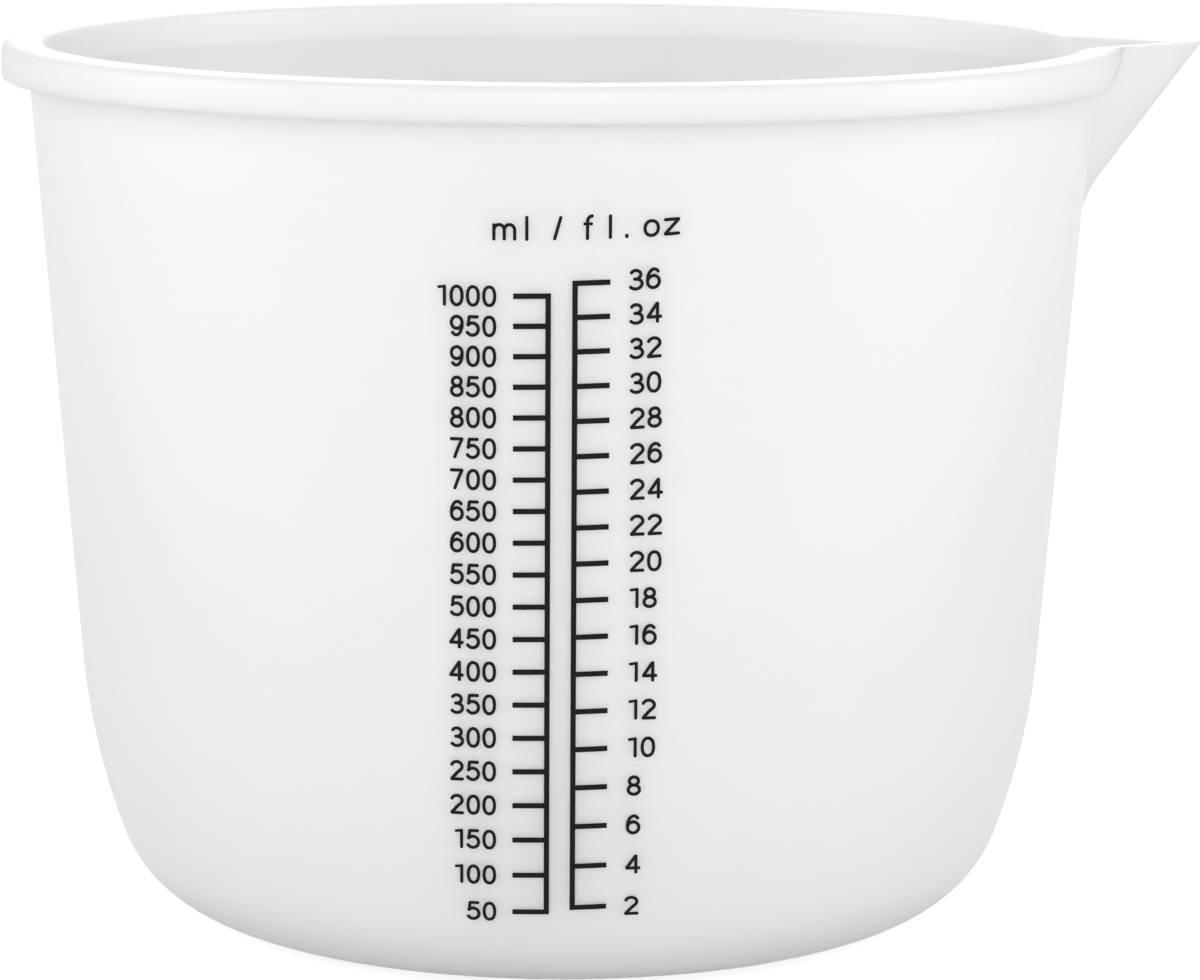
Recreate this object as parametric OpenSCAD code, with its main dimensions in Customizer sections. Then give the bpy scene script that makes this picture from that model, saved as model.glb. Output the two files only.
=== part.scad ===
// Resin mixing cup: one soft moulding with a thick rim bead and a V pour spout,
// and a printed scale in millilitres and fluid ounces.
// Millimetres. The origin is the centre of the base's underside, +Z is up,
// the spout points to +X and the printed scale faces -Y.

/* [Cup] */
// Height of the cup from its base to its rim
cup_h = 116; // [106:1:130]
// Outside diameter of the rim bead
rim_d = 148; // [136:1:162]
// Thickness of the wall at the rim
wall = 2.5; // [2:0.1:3.4]
// Thickness of the base
base_t = 6.4; // [4:0.2:9]
// Lean of the outside of the wall, in degrees
draft_out = 4.5; // [3:0.1:5.5]
// Lean of the inside of the wall, in degrees; more than the outside, so the wall thickens downwards
draft_in = 5; // [4:0.1:6]

/* [Heel] */
// Radius of the long sweep where the wall starts to turn in
sweep_r = 90; // [70:1:110]
// Angle that the sweep turns through, in degrees
sweep_turn = 15.5; // [10:0.5:20]
// Radius of the tight curve between the sweep and the base
heel_r = 16; // [12:0.5:22]

/* [Rim bead] */
// Height of the bead
bead_h = 4.8; // [4:0.1:7]
// How far the bead stands out from the wall
bead_out = 3.6; // [2.4:0.1:5]
// Radius of the bead's outer edges
bead_edge_r = 1.5; // [0.8:0.1:1.9]
// Radius of the rim's inner edge
mouth_edge_r = 1.2; // [0.6:0.1:1.8]

/* [Spout] */
// How far the tip stands out past the bead
spout_out = 11.3; // [8:0.1:14]
// Half of the angle between the spout's two sides, in degrees
spout_half_angle = 41; // [36:1:46]
// Lean of the keel from upright, in degrees
keel_lean = 36.5; // [32:0.5:42]
// Radius that blends the keel's foot into the wall
keel_blend_r = 18; // [12:1:24]
// Radius that blends the spout's sides into the wall and the bead
root_blend_r = 4; // [2.5:0.5:6]
// Radius that opens the pouring channel out of the mouth
channel_blend_r = 12; // [6:1:16]
// Radius along the keel
nose_r = 0.8; // [0.5:0.1:1.2]
// Radius of the spout's top edges
spout_edge_r = 0.4; // [0.3:0.1:0.6]
// Thickness of the spout's sides, measured level
spout_wall = 2.8; // [2.2:0.1:3.4]

/* [Printed scale] */
// Highest mark in millilitres
ml_top = 1000; // [500:50:1000]
// Millilitres between marks
ml_step = 50; // [25:25:100]
// Highest mark in fluid ounces
floz_top = 36; // [20:2:36]
// Fluid ounces between marks
floz_step = 2; // [1:1:4]
// Millilitres in a fluid ounce
ml_per_floz = 28.41; // [28.41, 29.57]
// Distance between the two rails, centre to centre
rail_gap = 3.2; // [2.4:0.1:5]
// Reach of the tick marks from the middle of the print
tick_reach = 5.8; // [4:0.1:8]
// Width of the printed lines
line_w = 0.66; // [0.5:0.02:0.9]
// Slope of the millilitre marks, up to the right, in degrees
ml_mark_slope = 1; // [0:0.1:3]
// Slope of the fluid ounce marks, up to the right, in degrees
floz_mark_slope = 2; // [0:0.1:3]
// Thickness of the ink
ink_t = 0.1; // [0.08:0.01:0.2]

/* [Hidden] */
$fn = 180;

silicone_white = [0.96, 0.96, 0.95];
ink_black = [0.13, 0.13, 0.14];

rim_r = rim_d / 2;
bead_z = cup_h - bead_h;
// Radius of the outside of the wall, carried up to the rim's level
wall_top_r = rim_r - bead_out + bead_h * tan(draft_out);
mouth_r = wall_top_r - wall;
// What a cut runs past the face that it opens
clear_cut = 1;
// How deep a blend's ends run into the surface that it meets
bury = 0.15;
// How far the spout's solid reaches into the cup, before the inside is cut
root_depth = 6;

// A side of the cup in section: [radius at the rim's level, draft, sweep radius, heel radius, floor level]
outside = [wall_top_r, draft_out, sweep_r, heel_r, 0];
inside = [mouth_r, draft_in, sweep_r - wall, heel_r - wall, base_t];
ink_face = [
    wall_top_r + ink_t / cos(draft_out), draft_out, sweep_r + ink_t, heel_r + ink_t, -ink_t
];

// Level where the heel ends and the sweep starts
function heel_top(s) = s[4] + s[3] * (1 - sin(s[1] + sweep_turn));
// Level where the sweep ends and the straight wall starts
function sweep_top(s) = heel_top(s) + s[2] * (sin(s[1] + sweep_turn) - sin(s[1]));
// Radius of the straight wall at a level
function straight_r(s, z) = s[0] - (cup_h - z) * tan(s[1]);
function sweep_centre(s) = [
    straight_r(s, sweep_top(s)) - s[2] * cos(s[1]),
    sweep_top(s) + s[2] * sin(s[1])
];
function heel_centre(s) = [
    sweep_centre(s)[0] + (s[2] - s[3]) * cos(s[1] + sweep_turn),
    s[4] + s[3]
];
// Radius of a circle's right-hand side at a level
function arc_r(c, r, z) = c[0] + sqrt(max(0, r * r - (z - c[1]) * (z - c[1])));
// Radius of a side of the cup at any level
function side_r(s, z) =
    z > sweep_top(s) ? straight_r(s, z)
    : z > heel_top(s) ? arc_r(sweep_centre(s), s[2], z)
    : arc_r(heel_centre(s), s[3], z);

// Half section of a side: straight wall, sweep and heel, filled in to the axis
module side_section(s, z_top) {
    z1 = sweep_top(s);
    z2 = heel_top(s);
    polygon([[0, z1], [straight_r(s, z1), z1], [straight_r(s, z_top), z_top], [0, z_top]]);
    intersection() {
        translate(sweep_centre(s)) circle(s[2]);
        translate([0, z2]) square([straight_r(s, z1), z1 - z2]);
    }
    intersection() {
        translate(heel_centre(s)) circle(s[3]);
        translate([heel_centre(s)[0], s[4]]) square([s[3], z2 - s[4]]);
    }
    translate([0, s[4]]) square([heel_centre(s)[0], z2 - s[4]]);
}

// Half section of the bead, with its two outer edges rounded
module bead_section() {
    edge_x = rim_r - bead_edge_r;
    translate([mouth_r, bead_z]) square([edge_x - mouth_r, bead_h]);
    translate([edge_x, bead_z + bead_edge_r]) square([bead_edge_r, bead_h - 2 * bead_edge_r]);
    for (z = [bead_z + bead_edge_r, cup_h - bead_edge_r])
        translate([edge_x, z]) circle(bead_edge_r);
}

// Half section of the hollow, with the rim's inner edge rounded off
module hollow_section() {
    edge_z = cup_h - mouth_edge_r;
    edge_x = straight_r(inside, edge_z);
    side_section(inside, cup_h + clear_cut);
    difference() {
        translate([edge_x - clear_cut, edge_z])
            square([clear_cut + mouth_edge_r, mouth_edge_r + clear_cut]);
        translate([edge_x + mouth_edge_r, edge_z]) circle(mouth_edge_r);
    }
}

// The spout's surfaces are drawn ring by ring. A spout face is
// [tip radius at the rim, wall radius at the rim, wall draft, keel blend radius, root blend radius,
// nose radius].
spout_face = [
    rim_r + spout_out, wall_top_r - bury, draft_out, keel_blend_r, root_blend_r, nose_r
];
channel_face = [
    rim_r + spout_out - spout_wall / sin(spout_half_angle), mouth_r - bury, draft_in,
    keel_blend_r + wall, channel_blend_r, nose_r / 2
];
// Blends shrink with the spout towards its foot, in these shares of how far it stands out there
root_share = 1.4;
nose_share = 0.4;

// Depth below the rim where the keel's straight line would meet the wall
function keel_drop(f) = (f[0] - f[1]) / (tan(keel_lean) - tan(f[2]));
// Centre of the keel's blend, in the upright plane of the spout
function keel_centre(f) =
    let (
        reach = f[3] * tan((keel_lean - f[2]) / 2),
        z = cup_h - keel_drop(f) - reach * cos(f[2])
    )
    [f[1] - (cup_h - z) * tan(f[2]) + f[3] * cos(f[2]), z - f[3] * sin(f[2])];
// Distance of the keel from the cup's axis at a level
function keel_x(f, z) =
    let (c = keel_centre(f))
    z > c[1] + f[3] * sin(keel_lean)
        ? f[0] - (cup_h - z) * tan(keel_lean)
        : c[0] - sqrt(f[3] * f[3] - (z - c[1]) * (z - c[1]));
function spout_wall_r(f, z) = f[1] - (cup_h - z) * tan(f[2]);

// Points of an arc about a centre, from one angle to another
function arc(c, r, from, to, steps) = [
    for (i = [0:steps]) let (t = from + (to - from) * i / steps) c + r * [cos(t), sin(t)]
];
// Angle, seen from the cup's axis, of the centre of a root blend between the V and a round wall
function root_angle(line, r_wall, r_blend) =
    90 - spout_half_angle - acos((line + r_blend) / (r_wall + r_blend));
// Root blend in plan, from the V's side to the round wall
function root_arc(line, r_wall, r_blend, steps) =
    let (a = root_angle(line, r_wall, r_blend))
    arc((r_wall + r_blend) * [cos(a), sin(a)], r_blend, 270 - spout_half_angle, 180 + a, steps);

// Half of the V in plan, from its nose to the wall, and on into the cup
function half_ring(line, r_wall, r_root, r_nose, grow) =
    let (
        nose = [(line - r_nose) / sin(spout_half_angle), 0],
        a = root_angle(line + grow, r_wall + grow, r_root)
    )
    concat(
        arc(nose + [grow / sin(spout_half_angle), 0], r_nose, 0, 90 - spout_half_angle, nose_steps),
        root_arc(line + grow, r_wall + grow, r_root, root_steps),
        [(r_wall - root_depth) * [cos(a), sin(a)]]
    );
nose_steps = 3;
root_steps = 9;

// Whole ring at a level, anticlockwise; grow widens it, for edges that are rounded
function ring(f, z, grow) =
    let (
        out = keel_x(f, z) - spout_wall_r(f, z),
        half = half_ring(
            keel_x(f, z) * sin(spout_half_angle), spout_wall_r(f, z),
            min(f[4], root_share * out), min(f[5], nose_share * out), grow
        )
    )
    concat(
        [for (i = [len(half) - 1:-1:1]) [half[i][0], -half[i][1], z]],
        [for (p = half) [p[0], p[1], z]]
    );

// Levels of the rings: up the keel's blend, then up the straight keel to where the edge starts
function keel_levels(f, z_end) =
    let (c = keel_centre(f), z_line = c[1] + f[3] * sin(keel_lean))
    concat(
        [for (i = [1:blend_steps]) c[1] + f[3] * sin(f[2] + (keel_lean - f[2]) * i / blend_steps)],
        [for (i = [1:line_steps]) z_line + (z_end - z_line) * i / line_steps]
    );
blend_steps = 7;
line_steps = 4;
edge_steps = 3;

// Closed solid through rings that have the same number of points
module loft(rings) {
    n = len(rings[0]);
    top = (len(rings) - 1) * n;
    polyhedron(
        points = [for (r = rings) each r],
        faces = concat(
            [[for (i = [0:n - 1]) i]],
            [
                for (k = [0:len(rings) - 2], i = [0:n - 1])
                    let (a = k * n + i, b = k * n + (i + 1) % n)
                    each [[a, a + n, b], [b, a + n, b + n]]
            ],
            [[for (i = [n - 1:-1:0]) top + i]]
        )
    );
}

// Outside of the spout, with its top edges rounded
module spout_solid() {
    edge_z = cup_h - spout_edge_r;
    loft(concat(
        [for (z = keel_levels(spout_face, edge_z)) ring(spout_face, z, 0)],
        [
            for (i = [1:edge_steps])
                let (t = 90 * i / edge_steps)
                ring(spout_face, edge_z + spout_edge_r * sin(t), -spout_edge_r * (1 - cos(t)))
        ]
    ));
}

// Pouring channel, whose edges open out with the same round as the mouth
module channel_cut() {
    edge_z = cup_h - mouth_edge_r;
    loft(concat(
        [for (z = keel_levels(channel_face, edge_z)) ring(channel_face, z, 0)],
        [
            for (i = [1:edge_steps + 2])
                let (t = 90 * i / (edge_steps + 2))
                ring(channel_face, edge_z + mouth_edge_r * sin(t), mouth_edge_r * (1 - cos(t)))
        ],
        [ring(channel_face, cup_h + clear_cut, mouth_edge_r)]
    ));
}

// One of the two blends between the bead's outer face and the spout's side
module bead_blend() {
    e = bead_edge_r;
    // The lowest level stays above the place where the bead's edge runs level, so that the two cross
    levels = concat(
        [for (t = [75:-25:0]) [bead_z + e - e * sin(t), rim_r - e + e * cos(t)]],
        [for (t = [0:30:90]) [cup_h - e + e * sin(t), rim_r - e + e * cos(t)]]
    );
    loft([
        for (l = levels)
            let (
                edge = max(0, l[0] - cup_h + spout_edge_r),
                inset = spout_edge_r - sqrt(spout_edge_r * spout_edge_r - edge * edge),
                line = keel_x(spout_face, l[0]) * sin(spout_half_angle) - inset - bury,
                r = l[1] - bury,
                corner = root_angle(line, r, 0)
            )
            [
                for (p = concat(
                    root_arc(line, r, root_blend_r, root_steps),
                    [(r - bead_out) * [cos(corner), sin(corner)]]
                )) [p[0], p[1], l[0]]
            ]
    ]);
}

module cup_body() {
    color(silicone_white) difference() {
        union() {
            rotate_extrude() {
                side_section(outside, cup_h);
                bead_section();
            }
            spout_solid();
            bead_blend();
            mirror([0, 1, 0]) bead_blend();
        }
        rotate_extrude() hollow_section();
        channel_cut();
    }
}

// Heights of the marks: the volume of the hollow is summed slice by slice from the floor
slice = 0.5;
function slice_ml(z) = PI * pow(side_r(inside, z), 2) * slice / 1000;
volume_table = [
    for (z = base_t, v = 0; z < cup_h; v = v + slice_ml(z + slice / 2), z = z + slice) [v, z]
];
function mark_z(ml) = lookup(ml, volume_table);
// Marks that are too near the bead to be read are left off
mark_limit = bead_z - 3 * bead_h;
function marks(step, top, unit_ml) = [
    for (m = [step:step:top]) if (mark_z(m * unit_ml) < mark_limit) mark_z(m * unit_ml)
];

// Flat drawing of one scale: a rail and its ticks, to the right of the middle. The levels are those
// of the ticks' middles, and a positive slope lifts their outer ends.
module scale_drawing(levels, slope) {
    rail_x = rail_gap / 2 - line_w / 2;
    length = tick_reach - rail_x;
    lift = length * tan(slope);
    translate([rail_x, min(levels)]) square([line_w, max(levels) - min(levels)]);
    for (z = levels)
        translate([rail_x, z - line_w / 2 - lift / 2])
            polygon([[0, 0], [length, lift], [length, lift + line_w], [0, line_w]]);
}

// Ink on the wall wherever the drawing is, seen from the front
module printed_on_wall() {
    print_angle = 2 * asin(2 * tick_reach / rim_r);
    intersection() {
        rotate([0, 0, -90 - print_angle / 2]) rotate_extrude(angle = print_angle) difference() {
            side_section(ink_face, bead_z);
            side_section(outside, bead_z);
        }
        rotate([90, 0, 0]) linear_extrude(rim_r) children();
    }
}

module ml_scale_print() {
    color(ink_black) printed_on_wall()
        mirror([1, 0]) scale_drawing(marks(ml_step, ml_top, 1), -ml_mark_slope);
}

module floz_scale_print() {
    color(ink_black) printed_on_wall()
        scale_drawing(marks(floz_step, floz_top, ml_per_floz), floz_mark_slope);
}

cup_body();
ml_scale_print();
floz_scale_print();
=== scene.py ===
"""Looks of the resin mixing cup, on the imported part's frame.

The cup's body is made again as one smooth skin, so that the spout, the rim bead and the rounded heel
run into each other as they do in a moulding. The printed rails and ticks of the part are kept, and
the numerals and the heading are printed beside them. Sizes are in millimetres and degrees, and a
mesh is in metres.
"""

import logging
import math
from collections.abc import Callable, Sequence
from dataclasses import dataclass, field
from enum import Enum

import bmesh
import bpy
from bmesh.types import BMesh, BMVert
from bpy.types import ID, Material, Node, NodeSocket, NodeTree, Object, World
from mathutils import Matrix, Vector

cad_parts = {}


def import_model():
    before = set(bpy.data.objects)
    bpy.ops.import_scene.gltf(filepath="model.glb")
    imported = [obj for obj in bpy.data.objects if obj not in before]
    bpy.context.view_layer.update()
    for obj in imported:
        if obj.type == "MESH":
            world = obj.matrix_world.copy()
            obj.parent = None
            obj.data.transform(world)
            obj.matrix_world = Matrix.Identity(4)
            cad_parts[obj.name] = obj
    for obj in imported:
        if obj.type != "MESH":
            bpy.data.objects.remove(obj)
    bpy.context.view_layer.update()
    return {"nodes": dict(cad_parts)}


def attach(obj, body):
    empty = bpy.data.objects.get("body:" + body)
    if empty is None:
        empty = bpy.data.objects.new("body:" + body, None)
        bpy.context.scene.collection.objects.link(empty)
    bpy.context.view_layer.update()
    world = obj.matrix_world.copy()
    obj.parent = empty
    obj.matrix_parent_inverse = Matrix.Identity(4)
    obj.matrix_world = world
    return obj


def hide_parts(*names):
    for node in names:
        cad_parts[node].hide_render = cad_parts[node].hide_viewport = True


LOG = logging.getLogger("mixing_cup")
# A millimetre in metres, and a millilitre in cubic millimetres
MM = 0.001
ML = 1000
BODY = "root"
# Attribute of the skin for its painted light and shade: from 0 inside the wall, painted greyer as
# painted shade, to 1 in the band inside the thick rim, painted whiter as painted light
PAINTED_LIGHT_AND_SHADE = "painted_light_and_shade"

Point = tuple[float, float]
Colour = tuple[float, float, float, float]


def sin_d(angle: float) -> float:
    """Sine of an angle in degrees."""
    return math.sin(math.radians(angle))


def cos_d(angle: float) -> float:
    """Cosine of an angle in degrees."""
    return math.cos(math.radians(angle))


def tan_d(angle: float) -> float:
    """Tangent of an angle in degrees."""
    return math.tan(math.radians(angle))


def mix(a: float, b: float, share: float) -> float:
    """Value that lies the given share of the way from a to b."""
    return a + (b - a) * share


def smooth_share(value: float) -> float:
    """Eases a value from 0 to 1, flat at both ends, and holds it outside them."""
    t = min(1.0, max(0.0, value))
    return t * t * (3 - 2 * t)


def arc(centre: Point, radii: float | Point, start: float, end: float, steps: int) -> list[Point]:
    """Points of an arc of a circle or an ellipse.

    Args:
        centre: Its centre.
        radii: The circle's radius, or the ellipse's along the two axes.
        start: Angle of the first point, in degrees.
        end: Angle of the last point, in degrees.
        steps: Number of steps between them.

    Returns:
        The points in order, both ends included.
    """
    x_r, y_r = radii if isinstance(radii, tuple) else (radii, radii)
    turns = [mix(start, end, i / steps) for i in range(steps + 1)]
    return [(centre[0] + x_r * cos_d(t), centre[1] + y_r * sin_d(t)) for t in turns]


def hex_linear(code: str) -> Colour:
    """Turns an sRGB hex colour into linear light.

    Args:
        code: Six hex digits after a hash sign.

    Returns:
        Linear red, green and blue, and an alpha of 1.
    """
    parts = [int(code[i : i + 2], 16) / 255 for i in (1, 3, 5)]
    linear = [p / 12.92 if p <= 0.04045 else ((p + 0.055) / 1.055) ** 2.4 for p in parts]
    return (linear[0], linear[1], linear[2], 1.0)


def add_node(
    tree: NodeTree,
    kind: str,
    settings: dict[str, object] | None = None,
    values: dict[str | int, object] | None = None,
    feeds: dict[str | int, NodeSocket] | None = None,
) -> Node:
    """Adds a node with its settings, its socket values and its links.

    Args:
        tree: The node tree that the node is added to.
        kind: The node's type name, after its "ShaderNode".
        settings: Properties of the node itself.
        values: Values of its input sockets, by name or number.
        feeds: Output sockets that feed its inputs, by name or number.

    Returns:
        The new node.
    """
    node = tree.nodes.new("ShaderNode" + kind)
    for name, value in (settings or {}).items():
        setattr(node, name, value)
    for name, value in (values or {}).items():
        node.inputs[name].default_value = value
    for name, socket in (feeds or {}).items():
        tree.links.new(socket, node.inputs[name])
    return node


def empty_tree(owner: Material | World) -> NodeTree:
    """Gives a material or a world a node tree with nothing in it.

    Args:
        owner: The material or the world.

    Returns:
        Its node tree.
    """
    owner.use_nodes = True
    owner.node_tree.nodes.clear()
    return owner.node_tree


def add_object(name: str, data: ID) -> Object:
    """Adds an object to the scene, at the origin.

    Args:
        name: Name of the object.
        data: Its mesh, lamp or camera.

    Returns:
        The new object.
    """
    added = bpy.data.objects.new(name, data)
    bpy.context.scene.collection.objects.link(added)
    return added


def add_mesh(bm: BMesh, name: str, material: Material, smooth: bool = False) -> Object:
    """Adds an object with the shape of a bmesh.

    Args:
        bm: The finished shape, in metres and in place; it is freed.
        name: Name of the object and of its mesh.
        material: The object's material.
        smooth: Whether its faces are shaded as one smooth skin.

    Returns:
        The new object.
    """
    mesh = bpy.data.meshes.new(name)
    bm.to_mesh(mesh)
    bm.free()
    mesh.polygons.foreach_set("use_smooth", [smooth] * len(mesh.polygons))
    mesh.materials.append(material)
    return add_object(name, mesh)


@dataclass(frozen=True)
class MouldedSilicone:
    """Translucent white silicone, moulded in a tool with a fine blasted surface.

    Light passes into the rubber and out again some millimetres away, so the cup looks milky, its
    inside stays light and dark ink dims the wall around it. The inside wall's colour is painted
    greyer, as painted shade for the thin wall that lets light through, and the band inside the thick
    rim is painted whitest, as painted light. Oil that rises out of the rubber gives a soft sheen.
    """

    # Painted shade and light: the inside wall takes the first white, mottled with the cloud white, as
    # painted shade, the band inside the rim takes the last as painted light, and the outside a mix
    thin_white: str = "#F0F0EF"
    cloud_white: str = "#EDEDEC"
    thick_white: str = "#FEFEFD"
    # Its pits make it rougher and smoother by the spread
    roughness: float = 0.5
    roughness_spread: float = 0.06
    ior: float = 1.41
    scatter_depth: float = 6.0
    oil: float = 0.2
    oil_roughness: float = 0.38
    cloud_size: float = 30.0
    # Blasting grit leaves pits of about 0.05 mm. They are drawn at 0.35 mm, the finest that shows.
    grain_size: float = 0.35
    grain_depth: float = 0.004

    def make(self) -> Material:
        """Builds the material.

        Returns:
            The silicone's material.
        """
        material = bpy.data.materials.new("white_moulded_silicone")
        tree = empty_tree(material)
        place = add_node(tree, "TexCoord").outputs["Object"]
        # The attribute paints the inside wall greyer as painted shade and the band inside the rim whiter as
        # painted light
        painted_light_and_shade = add_node(tree, "Attribute", {"attribute_name": PAINTED_LIGHT_AND_SHADE})
        clouds = add_node(
            tree,
            "TexNoise",
            values={"Scale": 1 / (self.cloud_size * MM), "Detail": 2.0, "Roughness": 0.45},
            feeds={"Vector": place},
        )
        cloudy = add_node(
            tree,
            "Mix",
            {"data_type": "RGBA"},
            {6: hex_linear(self.thin_white), 7: hex_linear(self.cloud_white)},
            {0: clouds.outputs["Fac"]},
        )
        white = add_node(
            tree,
            "Mix",
            {"data_type": "RGBA"},
            {7: hex_linear(self.thick_white)},
            {0: painted_light_and_shade.outputs["Fac"], 6: cloudy.outputs[2]},
        )
        grain = add_node(
            tree,
            "TexNoise",
            values={"Scale": 1 / (self.grain_size * MM), "Detail": 3.0, "Roughness": 0.6},
            feeds={"Vector": place},
        )
        matt = add_node(
            tree,
            "MapRange",
            values={
                "To Min": self.roughness - self.roughness_spread,
                "To Max": self.roughness + self.roughness_spread,
            },
            feeds={"Value": grain.outputs["Fac"]},
        )
        pits = add_node(
            tree,
            "Bump",
            values={"Strength": 1.0, "Distance": self.grain_depth * MM},
            feeds={"Height": grain.outputs["Fac"]},
        )
        surface = add_node(
            tree,
            "BsdfPrincipled",
            values={
                "IOR": self.ior,
                "Subsurface Weight": 1.0,
                # Red light goes a little further through the rubber than green and blue
                "Subsurface Radius": (1.0, 0.97, 0.93),
                "Subsurface Scale": self.scatter_depth * MM,
                "Coat Weight": self.oil,
                "Coat Roughness": self.oil_roughness,
            },
            feeds={
                "Base Color": white.outputs[2],
                "Roughness": matt.outputs["Result"],
                "Normal": pits.outputs["Normal"],
            },
        )
        add_node(tree, "OutputMaterial", feeds={"Surface": surface.outputs["BSDF"]})
        return material


@dataclass(frozen=True)
class ScreenPrintInk:
    """Charcoal silicone ink, screen printed and cured.

    It gives a dull near-black film. The screen's mesh leaves it faintly uneven in depth and tone.
    """

    full_black: str = "#101011"
    thin_black: str = "#1A1A1B"
    # The screen's marks make it rougher and smoother by the spread
    roughness: float = 0.7
    roughness_spread: float = 0.1
    ior: float = 1.43
    # The cured film is full of matting filler, so little light is thrown off its surface
    gloss: float = 0.15
    # A screen has a thread every 0.1 mm. Its unevenness is drawn at 0.3 mm, so that it shows.
    mesh_size: float = 0.3
    film_depth: float = 0.006

    def make(self) -> Material:
        """Builds the material.

        Returns:
            The ink's material.
        """
        material = bpy.data.materials.new("charcoal_screen_print_ink")
        tree = empty_tree(material)
        place = add_node(tree, "TexCoord").outputs["Object"]
        unevenness = add_node(
            tree,
            "TexNoise",
            values={"Scale": 1 / (self.mesh_size * MM), "Detail": 2.0},
            feeds={"Vector": place},
        ).outputs["Fac"]
        black = add_node(
            tree,
            "Mix",
            {"data_type": "RGBA"},
            {6: hex_linear(self.full_black), 7: hex_linear(self.thin_black)},
            {0: unevenness},
        )
        dull = add_node(
            tree,
            "MapRange",
            values={
                "To Min": self.roughness - self.roughness_spread,
                "To Max": self.roughness + self.roughness_spread,
            },
            feeds={"Value": unevenness},
        )
        film = add_node(
            tree,
            "Bump",
            values={"Strength": 0.6, "Distance": self.film_depth * MM},
            feeds={"Height": unevenness},
        )
        surface = add_node(
            tree,
            "BsdfPrincipled",
            values={"IOR": self.ior, "Specular IOR Level": self.gloss},
            feeds={
                "Base Color": black.outputs[2],
                "Roughness": dull.outputs["Result"],
                "Normal": film.outputs["Normal"],
            },
        )
        add_node(tree, "OutputMaterial", feeds={"Surface": surface.outputs["BSDF"]})
        return material


@dataclass(frozen=True)
class Side:
    """One side of the cup in section: a leaning wall, a long sweep, a tight heel and a floor."""

    rim_r: float
    draft: float
    sweep_r: float
    heel_r: float
    floor_z: float
    sweep_turn: float
    cup_h: float
    # Where the floor's lines run, in shares of its radius, and the steps round its two curves
    floor_shares: Sequence[float] = (0.0, 0.3, 0.6, 0.85, 0.97)
    heel_steps: int = 16
    sweep_steps: int = 10

    @property
    def heel_top(self) -> float:
        """Level where the heel ends and the sweep starts."""
        return self.floor_z + self.heel_r * (1 - sin_d(self.draft + self.sweep_turn))

    @property
    def sweep_top(self) -> float:
        """Level where the sweep ends and the straight wall starts."""
        turn = sin_d(self.draft + self.sweep_turn) - sin_d(self.draft)
        return self.heel_top + self.sweep_r * turn

    @property
    def sweep_centre(self) -> Point:
        """Centre of the sweep."""
        return (
            self.straight(self.sweep_top) - self.sweep_r * cos_d(self.draft),
            self.sweep_top + self.sweep_r * sin_d(self.draft),
        )

    @property
    def heel_centre(self) -> Point:
        """Centre of the heel's curve."""
        reach = (self.sweep_r - self.heel_r) * cos_d(self.draft + self.sweep_turn)
        return (self.sweep_centre[0] + reach, self.floor_z + self.heel_r)

    def straight(self, z: float) -> float:
        """Radius of the straight wall, carried on to any level."""
        return self.rim_r - (self.cup_h - z) * tan_d(self.draft)

    def radius(self, z: float) -> float:
        """Radius of the side at a level.

        Args:
            z: The level, from the floor up.

        Returns:
            The distance from the cup's axis.
        """
        if z > self.sweep_top:
            return self.straight(z)
        centre, r = (
            (self.sweep_centre, self.sweep_r)
            if z > self.heel_top
            else (self.heel_centre, self.heel_r)
        )
        return centre[0] + math.sqrt(max(0.0, r * r - (z - centre[1]) ** 2))

    def foot(self) -> list[Point]:
        """Line from the axis out along the floor, round the heel and up the sweep.

        Returns:
            Points of radius and level, in order.
        """
        floor = [(self.heel_centre[0] * share, self.floor_z) for share in self.floor_shares]
        lean = self.draft + self.sweep_turn
        heel = arc(self.heel_centre, self.heel_r, -90, -lean, self.heel_steps)
        sweep = arc(self.sweep_centre, self.sweep_r, -lean, -self.draft, self.sweep_steps)
        return floor + heel + sweep[1:]


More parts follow.
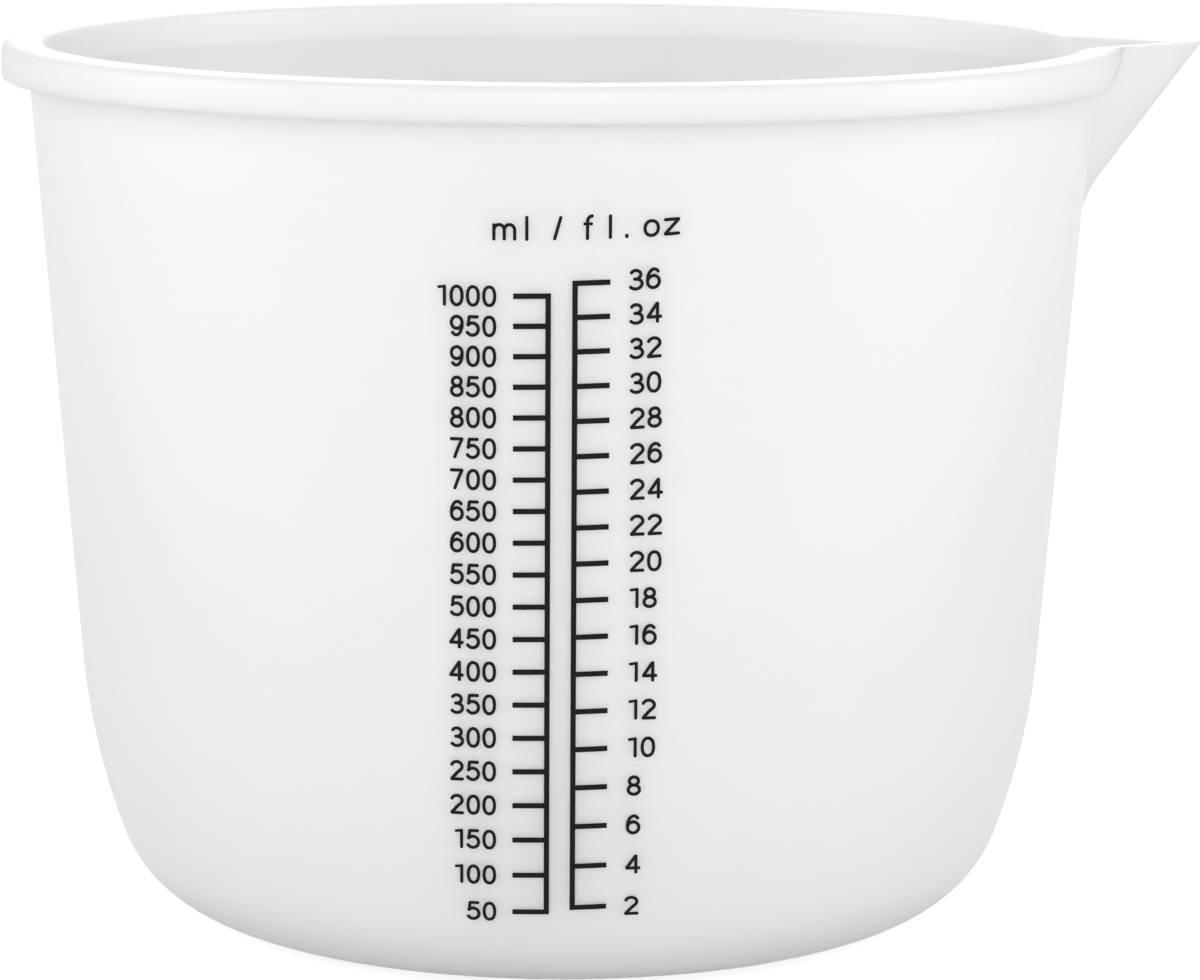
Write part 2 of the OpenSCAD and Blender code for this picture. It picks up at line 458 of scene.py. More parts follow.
@dataclass(frozen=True)
class SpoutFace:
    """The V of the pouring spout, outside or inside, as a line round the cup at each level."""

    side: Side
    tip_x: float
    keel_r: float
    nose_r: float
    keel_lean: float
    half_angle: float
    # Blends shrink with the spout towards its foot, in these shares of how far it stands out there
    root_share: float = 1.4
    nose_share: float = 0.4

    @property
    def keel_centre(self) -> Point:
        """Centre of the curve that leads the keel's foot into the wall.

        Returns:
            The centre's distance from the axis, and its level.
        """
        side, r = self.side, self.keel_r
        drop = (self.tip_x - side.rim_r) / (tan_d(self.keel_lean) - tan_d(side.draft))
        reach = r * tan_d((self.keel_lean - side.draft) / 2)
        z = side.cup_h - drop - reach * cos_d(side.draft)
        return (side.straight(z) + r * cos_d(side.draft), z - r * sin_d(side.draft))

    def keel_x(self, z: float) -> float:
        """Distance of the keel from the cup's axis at a level.

        Args:
            z: The level.

        Returns:
            The distance, which below the spout's foot is that of the wall or less.
        """
        centre = self.keel_centre
        if z > centre[1] + self.keel_r * sin_d(self.keel_lean):
            return self.tip_x - (self.side.cup_h - z) * tan_d(self.keel_lean)
        if z < centre[1] + self.keel_r * sin_d(self.side.draft):
            return 0.0
        return centre[0] - math.sqrt(self.keel_r**2 - (z - centre[1]) ** 2)

    def outline(self, turn: float, z: float, wall: float, grow: float, root_r: float) -> float:
        """Radius of the cup's outline where the V stands out of a round wall.

        Args:
            turn: Angle from the spout's middle, in degrees.
            z: The level.
            wall: Radius of the round wall at that level.
            grow: How far the V's sides are moved outwards.
            root_r: Radius of the blend between the wall and the V.

        Returns:
            The distance from the cup's axis.
        """
        turn = abs(turn)
        out = self.keel_x(z) - wall
        if out <= 0:
            return wall
        line = self.keel_x(z) * sin_d(self.half_angle) + grow
        square = 90 - self.half_angle
        root = min(root_r, self.root_share * out)
        nose = min(self.nose_r, self.nose_share * out)
        share = (line + root) / (wall + root)
        if share >= 1:
            return wall
        root_turn = square - math.degrees(math.acos(share))
        if turn >= root_turn:
            return wall
        reach = wall + root
        foot_x = reach * cos_d(root_turn) - root * cos_d(square)
        foot_y = reach * sin_d(root_turn) - root * sin_d(square)
        if turn > math.degrees(math.atan2(foot_y, foot_x)):
            across = reach * sin_d(turn - root_turn)
            return reach * cos_d(turn - root_turn) - math.sqrt(max(0.0, root**2 - across**2))
        middle = (line - nose) / sin_d(self.half_angle)
        nose_end = math.degrees(math.atan2(nose * sin_d(square), middle + nose * cos_d(square)))
        if turn > nose_end:
            return line / cos_d(turn - square)
        across = middle * sin_d(turn)
        return middle * cos_d(turn) + math.sqrt(max(0.0, nose**2 - across**2))


class Skin(Enum):
    """Which face of the moulding a level line runs on."""

    OUTSIDE = "outside"
    RIM_TOP = "top of the rim"
    INSIDE = "inside"


@dataclass(frozen=True)
class LevelLine:
    """One line round the cup: where it runs on the round cup, and where it goes on the spout."""

    skin: Skin
    r: float
    z: float
    spout_z: float
    # How far the spout's sides are moved outwards along this line
    grow: float = 0.0
    # On the rim's top, where the line runs, as a share of the way in from its outer edge
    across: float = 0.0


def level_lines(skin: Skin, points: Sequence[Point]) -> list[LevelLine]:
    """Lines through points of radius and level, which keep their level on the spout."""
    return [LevelLine(skin, r, z, z) for r, z in points]


@dataclass
class CupBody:
    """The silicone moulding: round cup, rim bead and V pouring spout, in one smooth skin."""

    cup_h: float = 116
    rim_d: float = 148
    wall: float = 2.5
    base_t: float = 6.4
    draft_out: float = 4.5
    draft_in: float = 5
    sweep_r: float = 90
    sweep_turn: float = 15.5
    heel_r: float = 16
    bead_h: float = 4.8
    bead_out: float = 3.6
    bead_edge_r: float = 1.5
    bead_lower_r: float = 0.5
    bead_root_r: float = 0.5
    mouth_edge_r: float = 1.2
    spout_out: float = 11.3
    spout_half_angle: float = 41
    keel_lean: float = 36.5
    keel_blend_r: float = 18
    root_blend_r: float = 4
    channel_blend_r: float = 12
    nose_r: float = 0.8
    spout_edge_r: float = 0.4
    spout_wall: float = 2.8
    # The skin's level lines are close together from where the spout grows out of the wall
    spout_foot: float = 87
    fine_step: float = 1.0
    plain_step: float = 3.0
    # Steps round the rim's small curves, and where lines run on its flats, in shares of each flat
    root_steps: int = 4
    bead_steps: int = 6
    mouth_steps: int = 7
    underside_shares: Sequence[float] = (0.3, 0.65)
    face_shares: Sequence[float] = (0.1, 0.22, 0.34, 0.46, 0.58, 0.7, 0.85)
    top_shares: Sequence[float] = (0.08, 0.36, 0.64, 0.92)
    # Points nearer than this are one
    merge_gap: float = 0.00002
    # Steps round the skin, in degrees: the nose's, the spout's, and how they widen to the rest's
    nose_turn: float = 0.12
    nose_turns: int = 6
    fine_turn: float = 0.25
    fine_turns: int = 80
    turn_growth: float = 1.12
    widest_turn: float = 2.2
    # How far the spout has to stand out of a line before the line has wholly left the bead, and inside,
    # how far the channel has to stand out before its painted shade is full
    hand_over: float = 1.5
    # Beside the spout the bead ends in a crease, which opens downwards and towards the lip
    crease_r: float = 0.8
    crease_fade: float = 8.0
    lip_blend_r: float = 12
    # Low down the bead's end slants: angle from the spout at its lower edge, how much nearer the
    # spout it ends with each millimetre up, and over what angle it drops to the wall
    end_turn: float = 19.0
    end_slant: float = 2.7
    end_drop: float = 1.2
    # Inside, the band of painted light below the rim starts at this level and is full this much further up
    band_z: float = 111.3
    band_fade: float = 0.9
    # Share of painted light on the outside and on the rim's top, between the inside wall's painted
    # shade at 0 and the band's painted light at 1
    outer_white: float = 0.6
    # Height of the layers that the hollow's volume is added up in
    fill_step: float = 0.5

    outside: Side = field(init=False)
    inside: Side = field(init=False)
    spout: SpoutFace = field(init=False)
    channel: SpoutFace = field(init=False)
    rim_edges: tuple[LevelLine, LevelLine] = field(init=False)

    def __post_init__(self) -> None:
        """Works out the section's two sides, the spout's two faces and the rim's two edges."""
        wall_top_r = self.rim_d / 2 - self.bead_out + self.bead_h * tan_d(self.draft_out)
        self.outside, self.inside = (
            Side(
                wall_top_r - depth,
                draft,
                self.sweep_r - depth,
                self.heel_r - depth,
                floor_z,
                self.sweep_turn,
                self.cup_h,
            )
            for depth, draft, floor_z in ((0, self.draft_out, 0), (self.wall, self.draft_in, self.base_t))
        )
        lean, half_angle = self.keel_lean, self.spout_half_angle
        tip, blend_r = self.rim_d / 2 + self.spout_out, self.keel_blend_r
        self.spout = SpoutFace(self.outside, tip, blend_r, self.nose_r, lean, half_angle)
        tip -= self.spout_wall / sin_d(half_angle)
        blend_r += self.wall
        self.channel = SpoutFace(self.inside, tip, blend_r, self.nose_r / 2, lean, half_angle)
        self.rim_edges = (self.outer_lines()[-1], self.inner_lines()[0])

    def side_points(self, side: Side, top: float) -> list[Point]:
        """Points of a side in section, closer together beside the spout.

        Args:
            side: The side.
            top: Level of the last point.

        Returns:
            Points of radius and level, from the axis out along the floor and up the wall.
        """
        points = side.foot()
        for low, high, step in (
            (side.sweep_top, self.spout_foot, self.plain_step),
            (self.spout_foot, top, self.fine_step),
        ):
            count = math.ceil((high - low) / step)
            levels = [mix(low, high, i / count) for i in range(1, count + 1)]
            points += [(side.radius(z), z) for z in levels]
        return points

    def outer_lines(self) -> list[LevelLine]:
        """Lines of the outside, from the base's middle up to the rim's top.

        Returns:
            The lines in order.
        """
        e, low, root = self.bead_edge_r, self.bead_lower_r, self.bead_root_r
        spout_e = self.spout_edge_r
        bead_z, rim_r = self.cup_h - self.bead_h, self.rim_d / 2
        corner_r = self.outside.straight(bead_z - root)
        # The wall's last line keeps a root's radius away from the curve under the bead
        wall_end = bead_z - 2 * root
        lines = level_lines(Skin.OUTSIDE, self.side_points(self.outside, wall_end))
        # On the round cup the bead's underside is level, and on the spout its lines run up the side
        centre = (corner_r + root, bead_z - root)
        underside = arc(centre, root, 180, 90, self.root_steps)
        underside += [(mix(centre[0], rim_r - low, s), bead_z) for s in self.underside_shares]
        for i, (r, z) in enumerate(underside):
            climb = mix(wall_end, bead_z, (i + 1) / (len(underside) + 1))
            lines.append(LevelLine(Skin.OUTSIDE, r, z, climb))
        lower_edge = arc((rim_r - low, bead_z + low), low, -90, 0, self.bead_steps)
        lines += level_lines(Skin.OUTSIDE, lower_edge)
        face_low, face_high = bead_z + low, self.cup_h - e
        edge_z = self.cup_h - spout_e
        lines += [
            LevelLine(Skin.OUTSIDE, rim_r, mix(face_low, face_high, s), mix(face_low, edge_z, s))
            for s in self.face_shares
        ]
        upper_edge = arc((rim_r - e, face_high), e, 0, 90, self.bead_steps)
        spout_edge = arc((0, 0), spout_e, 0, 90, self.bead_steps)
        for (r, z), (inset, rise) in zip(upper_edge, spout_edge):
            lines.append(LevelLine(Skin.OUTSIDE, r, z, edge_z + rise, inset - spout_e))
        return lines

    def inner_lines(self) -> list[LevelLine]:
        """Lines of the inside, from the rim's top down to the floor's middle.

        Returns:
            The lines in order.
        """
        e = self.mouth_edge_r
        edge_z = self.cup_h - e
        edge_x = self.inside.straight(edge_z)
        lines = [
            LevelLine(Skin.INSIDE, r, z, z, r - edge_x)
            for r, z in arc((edge_x + e, edge_z), e, 90, 180, self.mouth_steps)
        ]
        # The side's last point is the edge's own
        rising = self.side_points(self.inside, edge_z)[:-1]
        return lines + level_lines(Skin.INSIDE, rising[::-1])

    def lines(self) -> list[LevelLine]:
        """All the skin's lines, from under the base over the rim to the floor.

        Returns:
            The lines in order.
        """
        outer, inner = self.outer_lines(), self.inner_lines()
        top = [
            LevelLine(Skin.RIM_TOP, mix(outer[-1].r, inner[0].r, s), self.cup_h, self.cup_h, across=s)
            for s in self.top_shares
        ]
        return outer + top + inner

    def root_blend(self, z: float) -> float:
        """Radius of the blend between the spout's side and the wall or bead, at a level.

        Args:
            z: The level.

        Returns:
            The radius, which is least at the bead's lower edge.
        """
        above = z - self.cup_h + self.bead_h
        if above > 0:
            return mix(self.crease_r, self.lip_blend_r, above / self.bead_h)
        return mix(self.crease_r, self.root_blend_r, smooth_share(-above / self.crease_fade))

    def place(self, line: LevelLine, turn: float) -> tuple[float, float, float]:
        """Radius, level and share of painted light of the moulding at a point of the skin.

        Args:
            line: The line that the point is on.
            turn: Angle from the spout's middle, in degrees.

        Returns:
            The radius, the level and the share of painted light and shade.
        """
        if line.skin is Skin.RIM_TOP:
            outer, inner = (self.place(edge, turn) for edge in self.rim_edges)
            return mix(outer[0], inner[0], line.across), line.z, self.outer_white
        if line.skin is Skin.INSIDE:
            blend = self.channel_blend_r
            r = self.channel.outline(turn, line.z, line.r, line.grow, blend)
            out = self.channel.outline(turn, line.z, line.r, 0, blend) - line.r
            # Inside, the band below the rim is painted whiter as painted light, the wall below it and the
            # spout's channel are painted greyer as painted shade
            band = smooth_share((line.z - self.band_z) / self.band_fade)
            edge = smooth_share((line.z - self.cup_h) / self.mouth_edge_r + 1)
            white = mix(band, self.outer_white, edge)
            return r, line.z, white * (1 - smooth_share(out / self.hand_over))
        blend = self.root_blend(line.z)
        end = self.end_turn - self.end_slant * (line.z - self.cup_h + self.bead_h)
        gone = 1 - smooth_share((abs(turn) - end) / self.end_drop)
        base = mix(line.r, min(line.r, self.outside.radius(line.z)), gone)
        out = self.spout.outline(turn, line.z, base, 0, blend) - base
        share = max(gone, smooth_share(out / self.hand_over))
        z = mix(line.z, line.spout_z, share)
        r = self.spout.outline(turn, z, base, line.grow * share, blend)
        return r, z, self.outer_white

    def turns(self) -> list[float]:
        """Angles of the skin's upright lines, close together on the spout and even elsewhere.

        Returns:
            The angles in degrees, once round.
        """
        nose = [self.nose_turn * i for i in range(self.nose_turns + 1)]
        spout = [nose[-1] + self.fine_turn * i for i in range(1, self.fine_turns + 1)]
        rest, step = [spout[-1]], self.fine_turn
        while rest[-1] < 180 - 2 * step:
            step = min(step * self.turn_growth, self.widest_turn)
            rest.append(rest[-1] + step)
        scale = (180 - rest[0]) / (rest[-1] - rest[0])
        half = nose + spout + [rest[0] + (t - rest[0]) * scale for t in rest[1:]]
        return half + [360 - t for t in reversed(half[1:-1])]

    def build(self, finish: Material) -> Object:
        """Spins the section round the axis, then draws the spout out of the round skin.

        Args:
            finish: The silicone's material.

        Returns:
            The cup's body.
        """
        lines, turns = self.lines(), self.turns()
        bm = bmesh.new()
        number = bm.verts.layers.int.new("line")
        painted_light_and_shade = bm.verts.layers.float.new(PAINTED_LIGHT_AND_SHADE)
        chain = []
        for i, line in enumerate(lines):
            vert = bm.verts.new((line.r * MM, 0, line.z * MM))
            vert[number] = i
            chain.append(vert)
        edges = [bm.edges.new(pair) for pair in zip(chain, chain[1:])]
        bmesh.ops.spin(
            bm,
            geom=chain + edges,
            axis=(0, 0, 1),
            angle=math.tau,
            steps=len(turns),
            use_merge=True,
        )
        for vert in bm.verts:
            around = math.degrees(math.atan2(vert.co.y, vert.co.x)) % 360
            turn = turns[round(around / 360 * len(turns)) % len(turns)]
            signed = turn - 360 if turn > 180 else turn
            # Each point also takes its share of painted light and shade
            r, z, vert[painted_light_and_shade] = self.place(lines[vert[number]], signed)
            vert.co = (r * cos_d(signed) * MM, r * sin_d(signed) * MM, z * MM)
        bmesh.ops.remove_doubles(bm, verts=bm.verts, dist=self.merge_gap * MM)
        bm.verts.layers.int.remove(number)
        bmesh.ops.recalc_face_normals(bm, faces=bm.faces)
        piece = add_mesh(bm, "cup_moulding", finish, smooth=True)
        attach(piece, BODY)
        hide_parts("cup_body")
        return piece

    def on_wall(self, x: float, z: float, lift: float) -> Vector:
        """Point on the front of the wall.

        Args:
            x: Distance to the right of the middle, seen from the front.
            z: The level.
            lift: Height above the silicone.

        Returns:
            The point, in metres.
        """
        r = self.outside.radius(z) + lift / cos_d(self.draft_out)
        return Vector((x, -math.sqrt(r * r - x * x), z)) * MM

    def mark_level(self, millilitres: float) -> float:
        """Level to which a volume fills the cup.

        Args:
            millilitres: The volume.

        Returns:
            The level above the base's underside.
        """
        step, z, filled = self.fill_step, self.base_t, 0.0
        while True:
            layer = math.pi * self.inside.radius(z + step / 2) ** 2 * step / ML
            if filled + layer >= millilitres:
                return z + step * (millilitres - filled) / layer
            filled += layer
            z += step


@dataclass(frozen=True)
class Stroke:
    """One pen stroke of a character, drawn in a box of one by one."""

    points: Sequence[Point]
    closed: bool = False
    weight: float = 1.0


@dataclass(frozen=True)
class Character:
    """A printed character: its strokes, and its width as a share of its height."""

    width: float
    strokes: Sequence[Stroke]


def loop(centre: Point, radii: Point, squareness: float = 2.0, steps: int = 28) -> Stroke:
    """A closed oval stroke.

    Args:
        centre: The oval's centre.
        radii: Its radii.
        squareness: 2 for an ellipse, more for a squarer oval.
        steps: Number of sections round it.

    Returns:
        The stroke, whose last point lies on its first.
    """
    power = 2 / squareness
    points = [
        (
            centre[0] + radii[0] * math.copysign(abs(x) ** power, x),
            centre[1] + radii[1] * math.copysign(abs(y) ** power, y),
        )
        for x, y in arc((0, 0), 1, 0, 360, steps)
    ]
    return Stroke(points, closed=True)


def line_of(*points: Point, weight: float = 1.0) -> Stroke:
    """A straight or bent stroke through the given points."""
    return Stroke(points, weight=weight)


SIX = (Stroke(arc((0.55, 0.42), (0.55, 0.58), 50, 185, 18)), loop((0.5, 0.325), (0.5, 0.325)))
CHARACTERS = {
    "0": Character(0.58, [loop((0.5, 0.5), (0.5, 0.5), 2.25)]),
    "1": Character(0.32, [line_of((0, 0.945), (1, 0.985), weight=0.85), line_of((1, 1), (1, 0))]),
    "2": Character(
        0.62,
        [
            Stroke(arc((0.48, 0.73), (0.47, 0.27), 162, -32, 18) + [(0.5, 0.36), (0.03, 0.01)]),
            line_of((0.02, 0), (1, 0)),
        ],
    ),
    "3": Character(
        0.585,
        [
            Stroke(arc((0.45, 0.765), (0.43, 0.235), 152, -88, 18) + [(0.34, 0.53)]),
            Stroke([(0.34, 0.53)] + arc((0.47, 0.265), (0.53, 0.265), 88, -150, 20)),
        ],
    ),
    "4": Character(
        0.65,
        [line_of((0.7, 0.99), (0.02, 0.29)), line_of((0, 0.27), (1, 0.27)), line_of((0.74, 1), (0.74, 0))],
    ),
    "5": Character(
        0.58,
        [
            line_of((0.92, 1), (0.17, 1)),
            line_of((0.15, 1), (0.07, 0.54)),
            Stroke(arc((0.45, 0.33), (0.55, 0.33), 140, -150, 22)),
        ],
    ),
    "6": Character(0.585, SIX),
    "7": Character(0.6, [line_of((0, 1), (1, 1)), line_of((0.97, 0.99), (0.62, 0.5), (0.33, 0))]),
    "8": Character(0.575, [loop((0.5, 0.765), (0.41, 0.235)), loop((0.5, 0.265), (0.5, 0.265))]),
    "9": Character(0.575, [Stroke([(1 - x, 1 - y) for x, y in s.points], closed=s.closed) for s in SIX]),
    "m": Character(
        1.4,
        [
            line_of((0, 1), (0, 0)),
            Stroke(arc((0.25, 0.62), (0.25, 0.38), 172, 0, 12) + [(0.5, 0.3), (0.5, 0)]),
            Stroke(arc((0.75, 0.62), (0.25, 0.38), 172, 0, 12) + [(1, 0.3), (1, 0)]),
        ],
    ),
    "l": Character(0, [line_of((0.5, 1), (0.5, 0))]),
    "/": Character(0.28, [line_of((0, 0), (1, 1))]),
    "f": Character(
        0.34,
        [
            Stroke(arc((1.0, 0.76), (0.6, 0.24), 88, 180, 10) + [(0.4, 0.4), (0.4, 0)]),
            line_of((0, 0.655), (0.95, 0.655), weight=0.9),
        ],
    ),
    ".": Character(0.1, [line_of((0.45, 0.5), (0.55, 0.5), weight=1.4)]),
    "o": Character(0.9, [loop((0.5, 0.5), (0.5, 0.5), 2.1)]),
    "z": Character(
        0.94, [line_of((0, 1), (1, 1)), line_of((0.98, 0.98), (0.02, 0.02)), line_of((0, 0), (1, 0))]
    ),
}


@dataclass(frozen=True)
class Placed:
    """A character in its place on the print: the middle of its box, its height and its tilt."""

    character: str
    x: float
    z: float
    height: float
    tilt: float = 0.0
    widen: float = 1.0


@dataclass
class PrintedScale:
    """The printed scale: the part's own rails and ticks, with numerals and a heading."""

    cup: CupBody
    ml_top: int = 1000
    ml_step: int = 50
    floz_top: int = 36
    floz_step: int = 2
    ml_per_floz: float = 28.41
    tick_reach: float = 5.8
    # Numerals, measured to the middle of the pen's line
    pen: float = 0.4
    numeral_h: float = 2.25
    numeral_gap: float = 0.25
    # The narrow numeral 1 stands a little off the one after it, and further where numerals are
    # wider, by this power of their width
    one_gap: float = 0.16
    one_gap_power: int = 4
    # Fluid ounce numerals are drawn a little wider
    floz_width: float = 1.07
    ml_edge: float = 2.0
    floz_edge: float = 2.52
    # The fluid ounce column bows in at its ends. Its lowest numerals lie level, in this share of
    # the climb's length, and the top one climbs this many degrees. All stand a little above their
    # marks, by these heights at the bottom and at the top.
    floz_bow: float = 0.33
    floz_level_share: float = 0.7
    floz_rise: float = 4.0
    floz_lift: Point = (0.08, 0.28)
    # The millilitre numerals stand this much below their marks
    ml_drop: float = 0.09
    # The ink's height above the wall, and how deep it is set in so that no gap shows
    film: float = 0.1
    sunk: float = 0.03
    # A stroke's open end has sections at these angles of a half circle, pressed to this share
    cap_turns: Sequence[float] = (35, 62, 82)
    cap_share: float = 0.8
    # The two ends of a closed stroke are nearer than this, and made one
    merge_gap: float = 0.001
    # The heading's letters stand wide apart, and climb a little to the right
    heading: Sequence[Placed] = (
        Placed("m", -6.86, 98.18, 1.77, 0.5),
        Placed("l", -4.18, 98.64, 2.7, 0.5),
        Placed("/", -0.5, 98.7, 2.63, 0),
        Placed("f", 3.14, 98.8, 2.73, 1.5),
        Placed("l", 5.77, 98.88, 2.65, 1.5),
        Placed(".", 7.73, 97.75, 0.4, 2),
        Placed("o", 10.69, 98.67, 1.78, 3),
        Placed("z", 13.12, 98.84, 1.73, 4),
    )

    def numerals(self, text: str, edge: float, z: float, rise: float = 0, widen: float = 1) -> list[Placed]:
        """Places a number's numerals from the edge that its column lines up on.

        Args:
            text: The number.
            edge: The column's edge; a number left of the middle ends there, and one right of it
                starts there.
            z: Level of the numerals' middles at the edge.
            rise: How far the numerals climb to the right, in degrees.
            widen: How much wider than usual the numerals are.

        Returns:
            The numerals in their places.
        """
        widths = [CHARACTERS[c].width * widen * self.numeral_h + self.pen for c in text]
        one_gap = self.one_gap * widen**self.one_gap_power
        gaps = [self.numeral_gap + (one_gap if c == "1" else 0) for c in text]
        gaps[-1] = 0
        x = edge - sum(widths) - sum(gaps) if edge < 0 else edge
        placed = []
        for c, width, gap in zip(text, widths, gaps):
            middle = x + width / 2
            level = z + (middle - edge) * tan_d(rise)
            placed.append(Placed(c, middle, level, self.numeral_h, rise, widen))
            x += width + gap
        return placed

    def ml_numerals(self) -> list[Placed]:
        """Places the millilitre numbers, which end at one edge and lie level with their ticks.

        Returns:
            All their numerals.
        """
        edge = -self.tick_reach - self.ml_edge
        placed = []
        for ml in range(self.ml_step, self.ml_top + 1, self.ml_step):
            placed += self.numerals(str(ml), edge, self.cup.mark_level(ml) - self.ml_drop)
        return placed

    def floz_numerals(self) -> list[Placed]:
        """Places the fluid ounce numbers, which start at one edge and climb more up the cup.

        Returns:
            All their numerals.
        """
        marks = range(self.floz_step, self.floz_top + 1, self.floz_step)
        levels = [self.cup.mark_level(floz * self.ml_per_floz) for floz in marks]
        placed = []
        for floz, level in zip(marks, levels):
            up = (level - levels[0]) / (levels[-1] - levels[0])
            edge = self.tick_reach + self.floz_edge - self.floz_bow * (2 * up - 1) ** 2
            rise = smooth_share(mix(-self.floz_level_share, 1, up)) * self.floz_rise
            z = level + mix(*self.floz_lift, up)
            placed += self.numerals(str(floz), edge, z, rise, self.floz_width)
        return placed

    def draw_stroke(self, bm: BMesh, stroke: Stroke, place: Callable[[Point], Point]) -> None:
        """Draws a stroke as a flat ribbon with rounded ends.

        Args:
            bm: The bmesh that it is drawn in, with the print's x and z as its x and y.
            stroke: The stroke.
            place: Turns a point of the character's box into one of the print.
        """
        path = [Vector(place(p)) for p in stroke.points]
        last = len(path) - 1
        half = self.pen * stroke.weight / 2
        # Each section has its middle, the stroke's direction and how far it reaches either side
        sections: list[tuple[Vector, Vector, float]] = []
        for i, point in enumerate(path):
            ahead = path[1] if stroke.closed and i == last else path[min(i + 1, last)]
            behind = path[last - 1] if stroke.closed and i == 0 else path[max(i - 1, 0)]
            sections.append((point, (ahead - behind).normalized(), half))
        if not stroke.closed:
            for end, sign in ((0, -1), (-1, 1)):
                point, along, _ = sections[end]
                cap = [
                    (point + along * (sign * half * self.cap_share * sin_d(t)), along, half * cos_d(t))
                    for t in self.cap_turns
                ]
                sections = cap[::-1] + sections if end == 0 else sections + cap
        count = len(sections) - 1
        grid = bmesh.ops.create_grid(bm, x_segments=count, y_segments=1, size=1)["verts"]
        for vert in grid:
            point, along, reach = sections[round((vert.co.x + 1) / 2 * count)]
            across = Vector((-along.y, along.x)) * (reach if vert.co.y > 0 else -reach)
            vert.co = (point.x + across.x, point.y + across.y, 0)
        if stroke.closed:
            bmesh.ops.remove_doubles(bm, verts=grid, dist=self.merge_gap)

    def build(self, name: str, characters: Sequence[Placed], finish: Material) -> Object:
        """Prints characters on the wall as a thin film of ink.

        Args:
            name: Name of the piece.
            characters: The characters in their places.
            finish: The ink's material.

        Returns:
            The printed piece.
        """
        bm = bmesh.new()
        for placed in characters:
            shape = CHARACTERS[placed.character]
            width = shape.width * placed.widen * placed.height

            def place(point: Point, at: Placed = placed, across: float = width) -> Point:
                """Point of the character's box, on the print."""
                x = (point[0] - 0.5) * across
                return (at.x + x, at.z + (point[1] - 0.5) * at.height + x * tan_d(at.tilt))

            for stroke in shape.strokes:
                self.draw_stroke(bm, stroke, place)
        raised = bmesh.ops.extrude_face_region(bm, geom=bm.faces[:], use_keep_orig=True)["geom"]
        tops = {part for part in raised if isinstance(part, BMVert)}
        for vert in bm.verts:
            lift = self.film if vert in tops else -self.sunk
            vert.co = self.cup.on_wall(vert.co.x, vert.co.y, lift)
        bmesh.ops.recalc_face_normals(bm, faces=bm.faces)
        piece = add_mesh(bm, name, finish)
        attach(piece, BODY)
        return piece

    def dress(self, nodes: dict[str, Object], finish: Material) -> None:
        """Gives the part's own rails and ticks their ink.

        Args:
            nodes: The part's nodes by name.
            finish: The ink's material.
        """
        for name in ("ml_scale_print", "floz_scale_print"):
            nodes[name].data.materials.clear()
            nodes[name].data.materials.append(finish)


@dataclass(frozen=True)
class SoftBox:
    """A soft lamp, aimed at the cup. Its size is in metres, and its place in degrees."""

    name: str
    around: float
    up: float
    size: Point
    radiance: float

    def build(self, target: Vector, distance: float) -> None:
        """Adds the lamp.

        Args:
            target: The point that it faces, in metres.
            distance: How far from that point it hangs.
        """
        lamp = bpy.data.lights.new(self.name, "AREA")
        lamp.shape = "RECTANGLE"
        lamp.size, lamp.size_y = self.size
        lamp.energy = self.radiance * math.pi * self.size[0] * self.size[1]
        aside = Vector((sin_d(self.around), -cos_d(self.around), 0)) * cos_d(self.up)
        away = aside + Vector((0, 0, sin_d(self.up)))
        holder = add_object(self.name, lamp)
        holder.location = target + away * distance
        holder.rotation_euler = (-away).to_track_quat("-Z", "Y").to_euler()


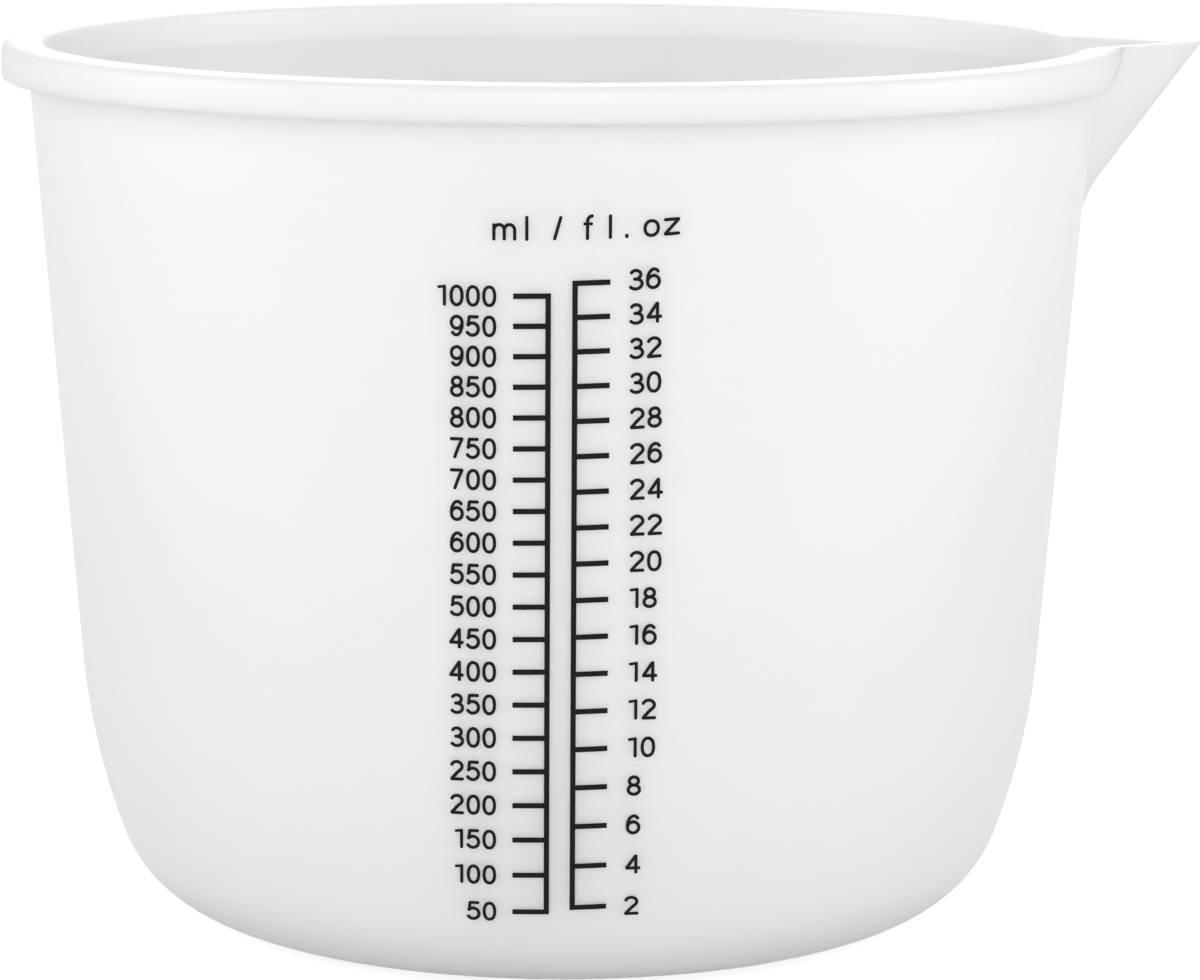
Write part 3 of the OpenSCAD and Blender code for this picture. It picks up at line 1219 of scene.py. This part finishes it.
@dataclass
class Studio:
    """White floor, soft lamps and the camera at the photograph's angle. Lengths are in metres."""

    floor_size: float = 9.0
    floor_sides: int = 64
    floor_drop: float = 0.0003
    floor_white: str = "#C4C4C4"
    # The floor's own glow for the camera: near the cup, where its shadow falls, and further away,
    # with the distances from the cup between which it grows
    floor_glow: float = 0.78
    far_glow: float = 1.0
    near_floor: float = 0.12
    far_floor: float = 0.7
    world_white: str = "#FFFFFF"
    world_light: float = 0.25
    lamp_target: tuple[float, float, float] = (0.0, 0.0, 0.06)
    lamp_distance: float = 1.3
    lamps: Sequence[SoftBox] = (
        SoftBox("strip_left", -85, 15, (0.3, 1.3), 6.2),
        SoftBox("strip_right", 85, 15, (0.3, 1.3), 6.2),
        SoftBox("front_high", 0, 30, (0.8, 0.4), 2.7),
        SoftBox("front_low", 0, 8, (0.5, 0.3), 12.8),
        SoftBox("back_high", 180, 35, (0.8, 0.4), 6.2),
    )
    camera_place: tuple[float, float, float] = (0.0, -0.634747, 0.164379)
    # Turn to the right, tilt down and roll of the camera, in radians
    yaw: float = 0.0083019
    pitch: float = 0.1703536
    roll: float = 0.0054225
    # Focal length in pixels of the photograph, and the photograph's width in pixels
    focal_px: float = 4779.2553
    photo_w: int = 1200
    sensor: float = 36.0

    def seen_directly(self, tree: NodeTree) -> NodeSocket:
        """Light path test that is 1 for what the camera sees, also in a gloss or through glass.

        Args:
            tree: The node tree that needs it.

        Returns:
            The socket with the test's value.
        """
        path = add_node(tree, "LightPath").outputs
        seen = path["Is Camera Ray"]
        for other in ("Is Glossy Ray", "Is Transmission Ray"):
            seen = add_node(
                tree, "Math", {"operation": "MAXIMUM"}, feeds={0: seen, 1: path[other]}
            ).outputs[0]
        return seen

    def build_world(self) -> None:
        """Sets a white world that lights the cup softly and shows as plain white."""
        world = bpy.data.worlds.new("studio_white")
        tree = empty_tree(world)
        strength = add_node(
            tree,
            "MapRange",
            values={"To Min": self.world_light, "To Max": 1.0},
            feeds={"Value": self.seen_directly(tree)},
        )
        light = add_node(
            tree,
            "Background",
            values={"Color": hex_linear(self.world_white)},
            feeds={"Strength": strength.outputs["Result"]},
        )
        add_node(tree, "OutputWorld", feeds={"Surface": light.outputs[0]})
        bpy.context.scene.world = world

    def build_floor(self) -> None:
        """Lays the white floor, which keeps the cup's shadow."""
        material = bpy.data.materials.new("studio_floor")
        tree = empty_tree(material)
        paper = add_node(tree, "BsdfDiffuse", values={"Color": hex_linear(self.floor_white)})
        place = add_node(tree, "TexCoord").outputs["Object"]
        away = add_node(tree, "VectorMath", {"operation": "LENGTH"}, feeds={0: place})
        level = add_node(
            tree,
            "MapRange",
            values={
                "From Min": self.near_floor,
                "From Max": self.far_floor,
                "To Min": self.floor_glow,
                "To Max": self.far_glow,
            },
            feeds={"Value": away.outputs["Value"]},
        )
        glow = add_node(
            tree,
            "Math",
            {"operation": "MULTIPLY"},
            feeds={0: self.seen_directly(tree), 1: level.outputs["Result"]},
        )
        light = add_node(tree, "Emission", feeds={"Strength": glow.outputs[0]})
        both = add_node(tree, "AddShader", feeds={0: paper.outputs[0], 1: light.outputs[0]})
        add_node(tree, "OutputMaterial", feeds={"Surface": both.outputs[0]})
        bm = bmesh.new()
        bmesh.ops.create_circle(bm, cap_ends=True, segments=self.floor_sides, radius=self.floor_size / 2)
        bmesh.ops.translate(bm, verts=bm.verts, vec=(0, 0, -self.floor_drop))
        floor = add_mesh(bm, "studio_floor", material)

    def build_camera(self) -> None:
        """Sets up the camera where the photograph was taken from."""
        data = bpy.data.cameras.new("photo_camera")
        data.sensor_width = self.sensor
        data.lens = self.focal_px / self.photo_w * self.sensor
        camera = add_object("photo_camera", data)
        look = Matrix.Translation(self.camera_place)
        for turn, axis in ((-self.yaw, "Z"), (math.pi / 2 - self.pitch, "X"), (self.roll, "Z")):
            look = look @ Matrix.Rotation(turn, 4, axis)
        camera.matrix_world = look
        bpy.context.scene.camera = camera

    def build(self) -> None:
        """Builds the world, the floor, the lamps and the camera."""
        bpy.context.scene.view_settings.view_transform = "Standard"
        self.build_world()
        self.build_floor()
        for lamp in self.lamps:
            lamp.build(Vector(self.lamp_target), self.lamp_distance)
        self.build_camera()


def main() -> None:
    """Builds the cup's body, its print and the studio, in that order."""
    logging.basicConfig(level=logging.INFO, format="%(message)s")
    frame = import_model()
    silicone, ink = MouldedSilicone().make(), ScreenPrintInk().make()

    cup = CupBody()
    body = cup.build(silicone)
    LOG.info("%s: %d faces", body.name, len(body.data.polygons))

    scale = PrintedScale(cup)
    scale.dress(frame["nodes"], ink)
    for name, characters in (
        ("ml_numerals", scale.ml_numerals()),
        ("floz_numerals", scale.floz_numerals()),
        ("scale_heading", scale.heading),
    ):
        piece = scale.build(name, characters, ink)
        LOG.info("%s: %d characters, %d faces", name, len(characters), len(piece.data.polygons))

    Studio().build()
    LOG.info("studio: floor, lamps, world and camera")


if __name__ == "__main__":
    main()
